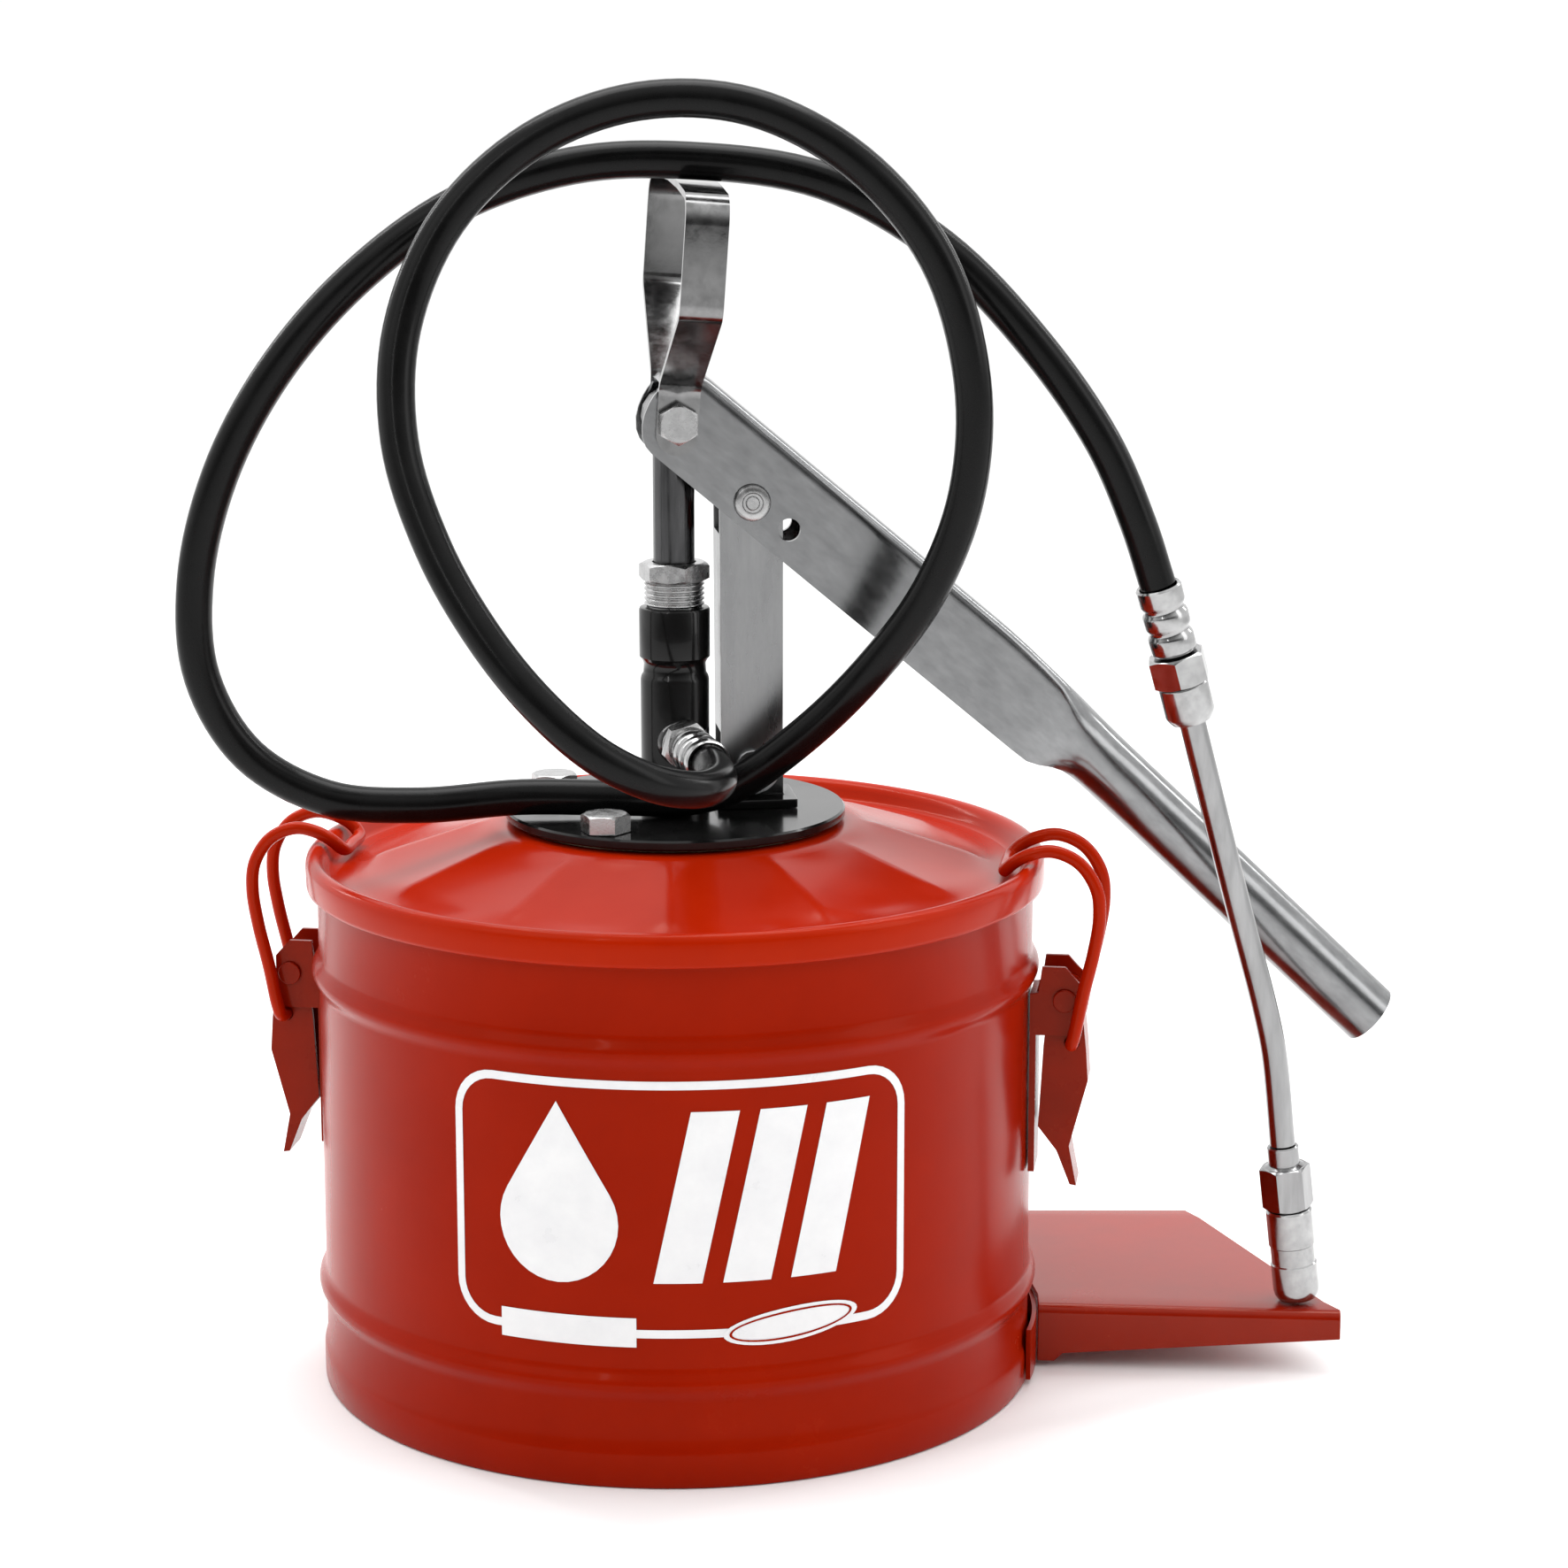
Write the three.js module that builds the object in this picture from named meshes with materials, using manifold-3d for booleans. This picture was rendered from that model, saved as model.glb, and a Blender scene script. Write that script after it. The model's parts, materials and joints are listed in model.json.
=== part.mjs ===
// Bucket grease pump: a steel pail with a clamped lid, a hand-lever plunger pump on a flange plate,
// and a delivery hose that ends in a rigid tube with a grease coupler.
// Millimetres, +Z up, origin on the floor under the bucket's axis.
import * as THREE from "three";
import { mergeVertices } from "three/addons/utils/BufferGeometryUtils.js";
import Module from "manifold-3d";

const wasm = await Module();
wasm.setup();

// ---------- driving dimensions ----------
const GAP = 0.3; // between pieces that touch
const ROUND = 36; // sides of a large turned shape
const FINE = 16; // sides of a small turned shape

const BUCKET_R = 110;
const SHEET = 1.2; // bucket and lid sheet
const BUCKET_TOP = 160.5;
const BEAD_HEIGHTS = [31, 130];
const BEAD_BULGE = 2.2;
const SKIRT_R = 113.4;

const HEAD_TURN = THREE.MathUtils.degToRad(7); // lever plane, about Z from +X
const OUTLET_TURN = THREE.MathUtils.degToRad(-75); // outlet direction, about Z from +X
const PLATE_R = 52;
const PLATE_Z = 175.4;
const PLATE_TOP = 178.4;
const BOLT_CIRCLE_R = 43.5;
const BOLT_ANGLES = [62, 152, 243];

const ROD_R = 6.3;
const BODY_R = 10.5;
const CYLINDER_BORE_R = 8;
const OUTLET_Z = 199.5;
const OUTLET_SEAT_R = 2;

const PIVOT = [0, 297.3]; // lever pivot on the rod: along the lever plane, and height
const FULCRUM = [22.5, 272.9]; // lever pivot on the support link
const LINK_FOOT = [22.5, 192]; // support link's pivot in its lug
const LEVER_TILT = THREE.MathUtils.degToRad(-40.15);
const HANDLE_LEAN = THREE.MathUtils.degToRad(4); // of the carrying handle, towards the lever
const LEVER_HALF_WIDTH = 12;
const LEVER_SHEET = 2;
const PIVOT_HOLE_R = 3.8;

const LATCH_ANGLES = { right: -8, left: 172 };
const LATCH_PIN = [121, 122.6]; // radius from the bucket's axis, and height
const BAIL_PIN = [123.2, 108.9];
const WIRE_R = 2;

const HOSE_R = 5.5;
const FOOT_TOP = 20;

// ---------- materials ----------
const finish = (color, roughness, metalness) =>
  new THREE.MeshStandardMaterial({ color, roughness, metalness });
const redPaint = finish(0xb41d10, 0.35, 0.1);
const blackPaint = finish(0x111214, 0.3, 0.1);
const zinc = finish(0xa7a9ab, 0.4, 0.9);
const brightSteel = finish(0xc9cacc, 0.22, 1);
const darkSteel = finish(0x5b5c5e, 0.35, 0.9);
const rubber = finish(0x17181a, 0.6, 0);
const fibre = finish(0x6d6455, 0.9, 0);

// ---------- solids ----------
function toSolid(geometry) {
  const bare = geometry.index ? geometry.toNonIndexed() : geometry.clone();
  bare.deleteAttribute("normal");
  bare.deleteAttribute("uv");
  const merged = mergeVertices(bare, 1e-4);
  const corners = merged.index.array;
  const kept = [];
  for (let i = 0; i < corners.length; i += 3) {
    const [a, b, c] = [corners[i], corners[i + 1], corners[i + 2]];
    if (a !== b && b !== c && a !== c) kept.push(a, b, c);
  }
  return new wasm.Manifold(
    new wasm.Mesh({
      numProp: 3,
      vertProperties: new Float32Array(merged.attributes.position.array),
      triVerts: new Uint32Array(kept),
    }),
  );
}

function toGeometry(solid) {
  const mesh = solid.getMesh();
  const geometry = new THREE.BufferGeometry();
  const positions = new Float32Array(mesh.numVert * 3);
  for (let i = 0; i < mesh.numVert; i++) {
    const start = i * mesh.numProp;
    positions.set(mesh.vertProperties.subarray(start, start + 3), i * 3);
  }
  geometry.setAttribute("position", new THREE.BufferAttribute(positions, 3));
  geometry.setIndex(new THREE.BufferAttribute(new Uint32Array(mesh.triVerts), 1));
  geometry.computeVertexNormals();
  return geometry;
}

const cut = (body, ...tools) =>
  toGeometry(tools.reduce((rest, tool) => rest.subtract(toSolid(tool)), toSolid(body)));
const join = (...pieces) =>
  toGeometry(pieces.map(toSolid).reduce((sum, piece) => sum.add(piece)));

// A profile of [radius, height] points turned about Z. It closes on itself.
function turned(profile, sides = FINE) {
  const points = [...profile, profile[0]].map(([r, z]) => new THREE.Vector2(r, z));
  return new THREE.LatheGeometry(points, sides).rotateX(Math.PI / 2);
}

function ring(inner, outer, low, high, sides = FINE) {
  return turned([[inner, low], [outer, low], [outer, high], [inner, high]], sides);
}

function disc(radius, low, high, sides = FINE) {
  return new THREE.CylinderGeometry(radius, radius, high - low, sides)
    .rotateX(Math.PI / 2)
    .translate(0, 0, (low + high) / 2);
}

function hexagon(acrossFlats, low, high) {
  return disc(acrossFlats / Math.sqrt(3), low, high, 6);
}

function box(x0, x1, y0, y1, z0, z1) {
  return new THREE.BoxGeometry(x1 - x0, y1 - y0, z1 - z0).translate(
    (x0 + x1) / 2,
    (y0 + y1) / 2,
    (z0 + z1) / 2,
  );
}

// An outline of [x, z] points or a Shape, as thick as y0 to y1.
function plate(outline, y0, y1) {
  const asPoints = (corners) => new THREE.Shape(corners.map(([x, z]) => new THREE.Vector2(x, z)));
  const shape = Array.isArray(outline) ? asPoints(outline) : outline;
  return new THREE.ExtrudeGeometry(shape, { depth: y1 - y0, bevelEnabled: false, curveSegments: 12 })
    .rotateX(Math.PI / 2)
    .translate(0, y1, 0);
}

// A round bar across the lever plane, through [x, z], from y0 to y1.
function crossPin([x, z], radius, y0, y1, sides = FINE) {
  return disc(radius, y0, y1, sides).rotateX(-Math.PI / 2).translate(x, 0, z);
}

function sweep(points, radius, sides, steps) {
  const section = new THREE.Shape();
  for (let i = 0; i < sides; i++) {
    const angle = (i / sides) * 2 * Math.PI;
    const [x, y] = [radius * Math.cos(angle), radius * Math.sin(angle)];
    if (i) section.lineTo(x, y);
    else section.moveTo(x, y);
  }
  const path = new THREE.CatmullRomCurve3(points.map((p) => new THREE.Vector3(...p)));
  return new THREE.ExtrudeGeometry(section, { extrudePath: path, steps, bevelEnabled: false });
}

// A turned shape made along Z, stood on start with its Z axis along direction.
function aimed(geometry, start, direction) {
  const turn = new THREE.Quaternion().setFromUnitVectors(
    new THREE.Vector3(0, 0, 1),
    new THREE.Vector3(...direction).normalize(),
  );
  return geometry.applyQuaternion(turn).translate(...start);
}

function named(name, geometry, material) {
  const mesh = new THREE.Mesh(geometry, material);
  mesh.name = name;
  return mesh;
}

// ---------- bucket ----------
function bead(height, radius) {
  return [[-5, 0], [-1.5, 1], [1.5, 1], [5, 0]].map(([dz, share]) => [
    radius + share * BEAD_BULGE,
    height + dz,
  ]);
}

function bucketBody() {
  const inner = BUCKET_R - SHEET;
  const outside = [
    [inner, 0],
    [BUCKET_R + 0.8, 0],
    [BUCKET_R + 1, 10],
    [BUCKET_R, 12],
    ...BEAD_HEIGHTS.flatMap((height) => bead(height, BUCKET_R)),
    [BUCKET_R, 156],
    [BUCKET_R + 1.6, 157.5],
    [BUCKET_R + 1.6, BUCKET_TOP - 1],
    [BUCKET_R + 0.6, BUCKET_TOP],
    [inner + 0.4, BUCKET_TOP],
    [inner, BUCKET_TOP - 1],
  ];
  const inside = [...BEAD_HEIGHTS].reverse().flatMap((height) => bead(height, inner).reverse());
  return turned([...outside, ...inside], ROUND);
}

// A flat pan: its floor stands on the ground with the wall's edge, and its flange lies inside the wall.
function bucketBottom() {
  const edge = BUCKET_R - SHEET - GAP;
  const floor = new THREE.Shape();
  const corners = ROUND - 1;
  for (let i = 0; i < corners; i++) {
    const angle = (i / corners) * 2 * Math.PI;
    const [x, y] = [(edge - 0.9) * Math.cos(angle), (edge - 0.9) * Math.sin(angle)];
    if (i) floor.lineTo(x, y);
    else floor.moveTo(x, y);
  }
  const flatFloor = new THREE.ExtrudeGeometry(floor, { depth: SHEET, bevelEnabled: false });
  return join(flatFloor, ring(edge - 2.1, edge, 0.3, 6.5, ROUND));
}

// ---------- lid ----------
function lid() {
  const shell = turned(
    [
      [SKIRT_R, 155.7], [SKIRT_R, 163.6], [110.8, 165.4], [108, 163.6], [106.2, 159.6],
      [98.5, 159.5], [90, 163], [60, 173.2], [53, 174.2], [12.5, 174.2],
      [12.5, 173], [53, 173], [60, 172], [90, 161.8],
      [98.2, 158.3], [106.9, 158.4], [109.2, 163], [110.8, 164.2], [112.2, 163], [112.2, 155.7],
    ],
    ROUND,
  );
  return cut(shell, ...BOLT_ANGLES.map((angle) => atBolt(disc(4.3, 150, 180, 16), angle)));
}

function atBolt(geometry, degrees) {
  const angle = THREE.MathUtils.degToRad(degrees);
  return geometry.translate(BOLT_CIRCLE_R * Math.cos(angle), BOLT_CIRCLE_R * Math.sin(angle), 0);
}

function flangePlate() {
  const plateRing = ring(BODY_R + 0.5, PLATE_R, PLATE_Z, PLATE_TOP, ROUND);
  return cut(plateRing, ...BOLT_ANGLES.map((angle) => atBolt(disc(4.3, 170, 182, 16), angle)));
}

function plateGasket() {
  const low = 174.5;
  const gasket = ring(BODY_R + 2, PLATE_R - 2, low, PLATE_Z - GAP, ROUND);
  return cut(gasket, ...BOLT_ANGLES.map((angle) => atBolt(disc(4.3, 170, 182, 16), angle)));
}

function flangeBolt(angle) {
  return atBolt(join(hexagon(13, PLATE_TOP + GAP, 184), disc(3.9, 165, 179, 16)), angle);
}

function flangeNut(angle) {
  return atBolt(cut(hexagon(13, 166.4, 172.7), disc(4.2, 160, 180, 16)), angle);
}

// ---------- foot plate ----------
function footPlate() {
  const inner = 113.3;
  const frontX = 113.3;
  const frontY = -10.4;
  const tipX = 208;
  const tipY = -17.7;
  const rearY = 86.5;
  const sheet = 2;
  const outline = new THREE.Shape();
  outline.moveTo(frontX, frontY);
  outline.lineTo(tipX - 5, tipY + 0.4);
  outline.quadraticCurveTo(tipX, tipY, tipX - 1.5, tipY + 6);
  outline.lineTo(168.9, rearY);
  outline.lineTo(Math.sqrt(inner ** 2 - rearY ** 2), rearY);
  outline.absarc(0, 0, inner, Math.atan2(rearY, 73.2), Math.atan2(frontY, frontX), true);
  const deck = new THREE.ExtrudeGeometry(outline, { depth: sheet, bevelEnabled: false, curveSegments: 10 })
    .translate(0, 0, FOOT_TOP - sheet);
  const skirtSide = [[0.5, 1.6], [5, 1.4], [8, 4.2], [94, 11], [94, FOOT_TOP - 0.5], [0.5, FOOT_TOP - 0.5]];
  const slope = Math.atan2(tipY - frontY, tipX - frontX);
  const frontSkirt = plate(skirtSide, 0, sheet).rotateZ(slope).translate(frontX, frontY, 0);
  const rearSide = [[2, 6], [90, 11], [90, FOOT_TOP - 0.5], [2, FOOT_TOP - 0.5]];
  const rearSkirt = plate(rearSide, -sheet, 0).translate(77, rearY, 0);
  return join(deck, frontSkirt, rearSkirt);
}

function footBracket() {
  const [low, high] = [1.5, FOOT_TOP - 2 - GAP];
  const [from, to] = [-0.24, 0.84];
  const band = new THREE.Shape();
  band.absarc(0, 0, 112.9, from, to, false);
  band.absarc(0, 0, 111.4, to, from, true);
  return new THREE.ExtrudeGeometry(band, { depth: high - low, bevelEnabled: false, curveSegments: 12 })
    .translate(0, 0, low);
}

// ---------- latches, built with X outwards from the bucket's axis ----------
function latchBracket() {
  const strip = box(110.4, 112.3, -8.4, 8.4, 68, 124.5);
  const cheek = [[111.8, 111.5], [125.5, 111.5], [125.5, 128], [121, 133], [114, 133], [113, 125], [111.8, 124.5]];
  const cheeks = [[-8.4, -6.9], [6.9, 8.4]].map(([y0, y1]) => plate(cheek, y0, y1));
  return cut(join(strip, ...cheeks), crossPin(LATCH_PIN, 2.8, -12, 12, 16));
}

function latchPin() {
  const heads = [[-9.6, -8.6], [8.6, 9.6]].map(([y0, y1]) => crossPin(LATCH_PIN, 3.6, y0, y1, 16));
  return join(crossPin(LATCH_PIN, 2.4, -9, 9, 16), ...heads);
}

function latchLever() {
  const [pinX, pinZ] = LATCH_PIN;
  const side = new THREE.Shape();
  side.moveTo(pinX - 5, pinZ);
  side.lineTo(114.6, 108);
  side.lineTo(113.2, 82);
  side.lineTo(119, 74.5);
  side.lineTo(123.2, 63.8);
  side.lineTo(125.2, 63.5);
  side.lineTo(122.8, 76);
  side.lineTo(128.3, 97);
  side.lineTo(127.6, 107);
  side.lineTo(pinX + 5, pinZ);
  side.absarc(pinX, pinZ, 5, 0, Math.PI, false);
  const inside = [
    [100, 78], [121.8, 78], [126.8, 97.2], [126.1, 106.8], [126.1, 130], [100, 130],
  ];
  const hollow = plate(inside, -5, 5);
  return cut(
    plate(side, -6.5, 6.5),
    hollow,
    crossPin(LATCH_PIN, 2.7, -12, 12, 16),
    crossPin(BAIL_PIN, 2.35, -12, 12, 16),
  );
}

function latchBail() {
  const half = 11.9;
  const [x, z] = BAIL_PIN;
  const side = [
    [x, 4.2, z], [x, 8.4, z], [x + 0.3, 11.2, z + 1], [x + 1.2, half, z + 4.5], [x + 3.4, half, z + 16],
    [129.8, half, 139], [131.3, half, 150], [130.3, half, 158.5], [125, half, 166.4],
    [117, half, 169.8], [110, half, 168.6], [105.2, half, 166], [102.8, 10.8, 163.6], [102.2, 8, 162.8],
  ];
  const mirrored = side.map(([px, py, pz]) => [px, -py, pz]).reverse();
  return sweep([...side, [102.2, 0, 162.8], ...mirrored], WIRE_R, 6, 48);
}

// ---------- pump ----------
function pumpBody() {
  const bore = ROD_R + 0.5;
  const pocket = 8.4;
  const tube = turned([
    [bore, 168], [BODY_R, 168], [BODY_R, 218.8], [9.6, 220.3], [9.6, 222.6], [10.8, 224.3],
    [10.8, 239.4], [10.2, 240], [pocket, 240], [pocket, 226], [bore, 226],
  ]);
  const boss = alongOutlet(disc(7.5, bore + 0.5, 12.6));
  return cut(join(tube, boss), disc(bore, 160, 226), alongOutlet(disc(OUTLET_SEAT_R, 0, 20, 12)));
}

// Turned shapes made along Z, laid along the outlet's axis. Z is the distance from the pump's axis.
const alongOutlet = (geometry) =>
  geometry
    .rotateY(Math.PI / 2)
    .rotateZ(OUTLET_TURN - HEAD_TURN)
    .translate(0, 0, OUTLET_Z);

const pumpCylinder = () => ring(CYLINDER_BORE_R, BODY_R, 14, 168 - GAP);

function glandNut() {
  const barrel = turned([
    [6.6, 232], [8.1, 232], [8.1, 240.3], [9.15, 240.3], [9.15, 248.1], [6.6, 248.1],
  ]);
  return join(barrel, cut(hexagon(19, 248, 253.7), disc(6.6, 240, 260)));
}

const glandPacking = () => ring(6.5, 8.1, 226.3, 231.7);

function pistonRod() {
  const shank = disc(ROD_R, 78, PIVOT[1] - 5);
  const thread = disc(4, 56, 79, 16);
  const eye = crossPin(PIVOT, 9.4, -6.2, 6.2);
  return cut(join(shank, thread, eye), crossPin(PIVOT, PIVOT_HOLE_R, -20, 20, 16));
}

const piston = () => ring(4.15, 7.8, 66, 77.7);

const pistonCup = () => turned([[4.15, 61.5], [7.8, 61], [7.8, 65.7], [4.15, 65.7]]);

const pistonNut = () => cut(hexagon(12, 56.6, 61), disc(4.15, 50, 70, 16));

const footValve = () => turned([[3.5, 7], [9, 7], [12, 9.5], [12, 13.7], [4.3, 13.7], [3.5, 12.8]]);

const ball = (radius, height) => new THREE.SphereGeometry(radius, 16, 10).translate(0, 0, height);

function outletAdapter() {
  const shell = turned([[3, 12.9], [6, 12.9], [6, 21], [3, 21]]);
  const hex = cut(hexagon(14, 13, 20).rotateZ(Math.PI / 6), disc(3, 10, 30, 16));
  return alongOutlet(join(shell, hex, ring(3, 4.6, 20.5, 24)));
}

const outletBall = () => alongOutlet(ball(2.6, 14.8));

// ---------- lever, link and carrying handle ----------
// Lever shapes are drawn with X along the lever from the pivot and Z square to it.
const alongLever = (geometry) =>
  geometry.rotateY(-LEVER_TILT).translate(PIVOT[0], 0, PIVOT[1]);

function lever() {
  const [low, high] = [-12, 16];
  const half = LEVER_HALF_WIDTH;
  const side = new THREE.Shape();
  side.moveTo(0, low);
  side.lineTo(150, low);
  side.lineTo(158, -9);
  side.lineTo(170, -7);
  side.lineTo(170, 12.5);
  side.lineTo(124, high);
  side.lineTo(-2, high);
  side.quadraticCurveTo(-10, high - 1, -10.5, 4);
  side.quadraticCurveTo(-11, low + 1, 0, low);
  const channel = cut(
    plate(side, -half, half),
    box(-30, 152, -half + LEVER_SHEET, half - LEVER_SHEET, low - 5, high - LEVER_SHEET),
  );
  const gripStart = [148, 0, 4];
  const gripLine = [145.7, 0, -9.1];
  const grip = aimed(disc(9.8, 0, 146), gripStart, gripLine);
  const gripBore = aimed(disc(8, 24, 160), gripStart, gripLine);
  const whole = alongLever(cut(join(channel, grip), gripBore));
  const spareHole = [33.7, 264.4];
  return cut(
    whole,
    crossPin(PIVOT, PIVOT_HOLE_R, -20, 20, 16),
    crossPin(FULCRUM, 4.4, -20, 20, 16),
    crossPin(spareHole, 3.5, -20, 20, 16),
  );
}

function pivotBolt() {
  const head = crossPin(PIVOT, 11 / Math.sqrt(3), -18.9, -14.6, 6);
  return join(head, crossPin(PIVOT, 3.4, -15, 22, 16));
}

function pivotNut() {
  const nut = crossPin(PIVOT, 11 / Math.sqrt(3), 14.6, 20, 6);
  return cut(nut, crossPin(PIVOT, 3.7, 10, 25, 16));
}

function pivotBush(side) {
  const [near, far] = [6.5, 9.7].map((distance) => distance * side).sort((a, b) => a - b);
  return cut(crossPin(PIVOT, 6.4, near, far), crossPin(PIVOT, PIVOT_HOLE_R, -20, 20, 16));
}

function fulcrumRivet() {
  const heads = [[-14.3, -12.3], [12.3, 14.3]].map(([y0, y1]) => crossPin(FULCRUM, 5.6, y0, y1));
  return join(crossPin(FULCRUM, 4, -12.5, 12.5, 16), ...heads);
}

function supportLink() {
  const [x, foot] = LINK_FOOT;
  const top = FULCRUM[1];
  const half = 9.6;
  const side = new THREE.Shape();
  side.moveTo(x - half, foot + 4);
  side.absarc(x, foot, 9.2, Math.PI, 2 * Math.PI, false);
  side.lineTo(x + half, foot + 4);
  side.lineTo(x + half, top);
  side.absarc(x, top, half, 0, Math.PI, false);
  const inside = box(x - half + 2, x + 20, -7.6, 7.6, foot - 20, top + 20);
  const clearOfLug = box(x - 20, x, -7.6, 7.6, foot - 20, 202);
  return cut(
    plate(side, -half, half),
    inside,
    clearOfLug,
    box(x - 20, x + 20, -7.6, 7.6, top - 10, top + 20),
    crossPin(FULCRUM, 4.3, -20, 20, 16),
    crossPin(LINK_FOOT, PIVOT_HOLE_R, -20, 20, 16),
  );
}

function linkPin() {
  const heads = [[-11.4, -9.9], [9.9, 11.4]].map(([y0, y1]) => crossPin(LINK_FOOT, 5, y0, y1, 16));
  return join(crossPin(LINK_FOOT, 3.5, -10.2, 10.2, 16), ...heads);
}

// The lug's slot is wider than its pin, because the link's foot floats a little as the lever turns.
function linkLug() {
  const [x, z] = LINK_FOOT;
  const foot = box(12, 36.5, -11, 11, PLATE_TOP + GAP, 181.3);
  const tongue = box(16.2, 33, -3, 3, 181, 200);
  const slot = box(x - 4.2, x + 7.3, -5, 5, z - 5.2, z + 4.6);
  return cut(join(foot, tongue), slot);
}

// A flat strip bent in the plane across the lever, so it is drawn in [y, z] and is as wide along x.
function carryHandle() {
  const [half, top, sheet] = [61, 366, 2];
  const crown = top + 3.2;
  const base = PIVOT[1];
  const right = [
    [14.3, base - 10], [14.3, 307.6], [15.4, 309.4], [half - 1.2, 331.6], [half, 333.6],
    [half, top - 7], [half - 2, top - 2], [half - 7, top], [30, crown - 0.9], [10, crown],
  ];
  const inner = [
    [14.3 - sheet, base - 10], [14.3 - sheet, 308.4], [14.2, 311.4], [half - 2.6, 333.6], [half - sheet, 334.6],
    [half - sheet, top - 7.5], [half - 3.6, top - 3.6], [half - 7.5, top - sheet],
    [30, crown - 0.9 - sheet], [10, crown - sheet],
  ];
  const outer = [...right, ...[...right].reverse().map(([y, z]) => [-y, z])];
  const inside = [...inner, ...[...inner].reverse().map(([y, z]) => [-y, z])].reverse();
  const strip = plate([...outer, ...inside], -6.3, 6.3).rotateZ(Math.PI / 2);
  const earEnd = new THREE.Shape();
  earEnd.moveTo(-6.3, base - 3.7);
  earEnd.absarc(0, base - 3.7, 6.3, Math.PI, 2 * Math.PI, false);
  earEnd.lineTo(6.3, 380);
  earEnd.lineTo(-6.3, 380);
  const rounded = toSolid(strip).intersect(toSolid(plate(earEnd, -80, 80)));
  const drilled = toGeometry(rounded.subtract(toSolid(crossPin(PIVOT, PIVOT_HOLE_R, -20, 20, 16))));
  return drilled.translate(0, 0, -base).rotateY(HANDLE_LEAN).translate(0, 0, base);
}

// ---------- hose ----------
const FERRULE_START = 24.4; // distance of the pump's ferrule from the pump's axis
const FERRULE_END = 43;
const outletDirection = [Math.cos(OUTLET_TURN), Math.sin(OUTLET_TURN), 0];
const onOutlet = (distance) => [distance * outletDirection[0], distance * outletDirection[1], OUTLET_Z];

const FAR_END = [144.2, -27, 250.8]; // where the hose enters its far ferrule
const FAR_LINE = [0.2646, 0.13, -0.9556];

// Out of the pump and once round the handle, under itself past the pump, then over it all to the far end.
const HOSE_ROUTE = [
  onOutlet(FERRULE_END + GAP), [13.6, -53, 199.5], [13.9, -68, 199.4], [8.2, -83, 200.6],
  [-3.5, -94.8, 205], [-19, -100.4, 214], [-35.5, -98.8, 228.5], [-51, -92, 246.5],
  [-65.5, -82, 270], [-75.5, -71, 299], [-75, -62, 330],
  [-62, -56, 360], [-38, -52, 382], [-8, -50, 393], [24, -50, 391.5], [54, -50, 376],
  [77, -50, 349], [87.5, -49, 314], [86.5, -46, 281], [76, -40, 251], [58, -33, 225],
  [38, -26, 204], [18, -21.5, 188.8], [5, -20, 184.8], [-14, -19.5, 184.5], [-46, -20, 184.9],
  [-77, -22, 182.8], [-104, -24, 185.5], [-127, -26, 199], [-140, -28, 223], [-141, -29, 252], [-132.5, -30, 284],
  [-116, -30, 314], [-92, -30, 341], [-62, -30, 362.5], [-28, -30, 373.9], [6, -30, 375.4],
  [45, -30, 369.5], [79, -30, 350.5], [107, -30, 322], [127, -30, 293.6], [137.8, -28.8, 269.6], FAR_END,
];

function ferrule(length) {
  const groove = (at) => [[6.9, at - 2], [6.1, at - 0.8], [6.1, at + 0.8], [6.9, at + 2]];
  return turned([
    [HOSE_R + GAP, 0.4], [6.9, 0.2], ...groove(length * 0.36), ...groove(length * 0.68),
    [6.9, length - 0.8], [6.2, length], [3.2, length], [3.2, length - 2], [HOSE_R + GAP, length - 2],
  ]);
}

const pumpFerrule = () => {
  const length = FERRULE_END - FERRULE_START;
  return aimed(ferrule(length), onOutlet(FERRULE_END + GAP), outletDirection.map((part) => -part));
};

const alongFarLine = (distance) => FAR_END.map((part, i) => part + distance * FAR_LINE[i]);
const atFarEnd = (geometry, distance) => aimed(geometry, alongFarLine(distance), FAR_LINE);

const farFerrule = () => atFarEnd(ferrule(21.4), 0.3);
const swivelNut = () => atFarEnd(cut(hexagon(16, 0, 9.4), disc(4.3, -1, 12, 16)), 22);
const swivelSleeve = () => atFarEnd(ring(4.3, 7.6, 0, 12), 31.7);

const TUBE_R = 4;
const TUBE_ROUTE = [alongFarLine(23), alongFarLine(44), [171.3, -12, 152.5], [181.3, -9.4, 117],
  [184.8, -8.8, 101.5], [188.3, -8.2, 72]];
const extensionTube = () => sweep(TUBE_ROUTE, TUBE_R, 12, 16);

const COUPLER_START = [188.3, -8.2, 71.6];
const COUPLER_LINE = [6.5, 2, -52.7];

function couplerBody() {
  const barrel = turned([[0, 0], [4.4, 0], [4.4, 6], [6.4, 6.4], [6.4, 20.4], [0, 20.4]]);
  return aimed(join(barrel, hexagon(14, 6.6, 20.2)), COUPLER_START, COUPLER_LINE);
}

function couplerNose() {
  const nose = turned([[2.5, 20.8], [7.1, 20.8], [7.2, 44], [6.9, 48.8], [6, 50.4], [2.5, 50.4], [2.5, 40]]);
  return aimed(nose, COUPLER_START, COUPLER_LINE);
}

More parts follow.
